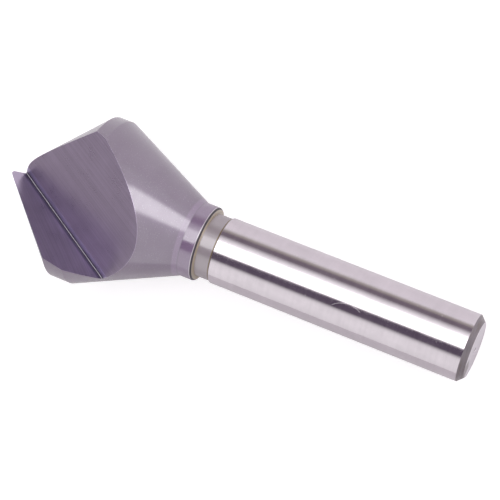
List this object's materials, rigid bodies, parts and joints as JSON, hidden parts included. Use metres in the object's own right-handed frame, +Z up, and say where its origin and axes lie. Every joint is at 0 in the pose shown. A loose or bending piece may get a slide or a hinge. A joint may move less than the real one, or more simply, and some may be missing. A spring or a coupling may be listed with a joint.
{
  "type": "countersink bit",
  "caption": "Countersink bit for metal: a cylindrical shank, a turned collar and a flared head whose relieved right-angle cone has a single ground flute and cutting edge, lying on its side.",
  "frame": {"origin": "On the floor, under the middle of the tool: the middle of the bounding box's underside.", "axes": "+Z up; +X the way the tool points, from the shank's end face to the cutting point, with the tool's own axis rising by 7.55 degrees towards the point; +Y to the left of the point."},
  "size_m": [0.0734, 0.0252, 0.022],
  "materials": {
    "tool_steel": "ground satin; violet-grey coating on the head, bright ground shank"
  },
  "bodies": {
    "root": {"countersink_bit": "tool_steel"}
  },
  "joints": []
}
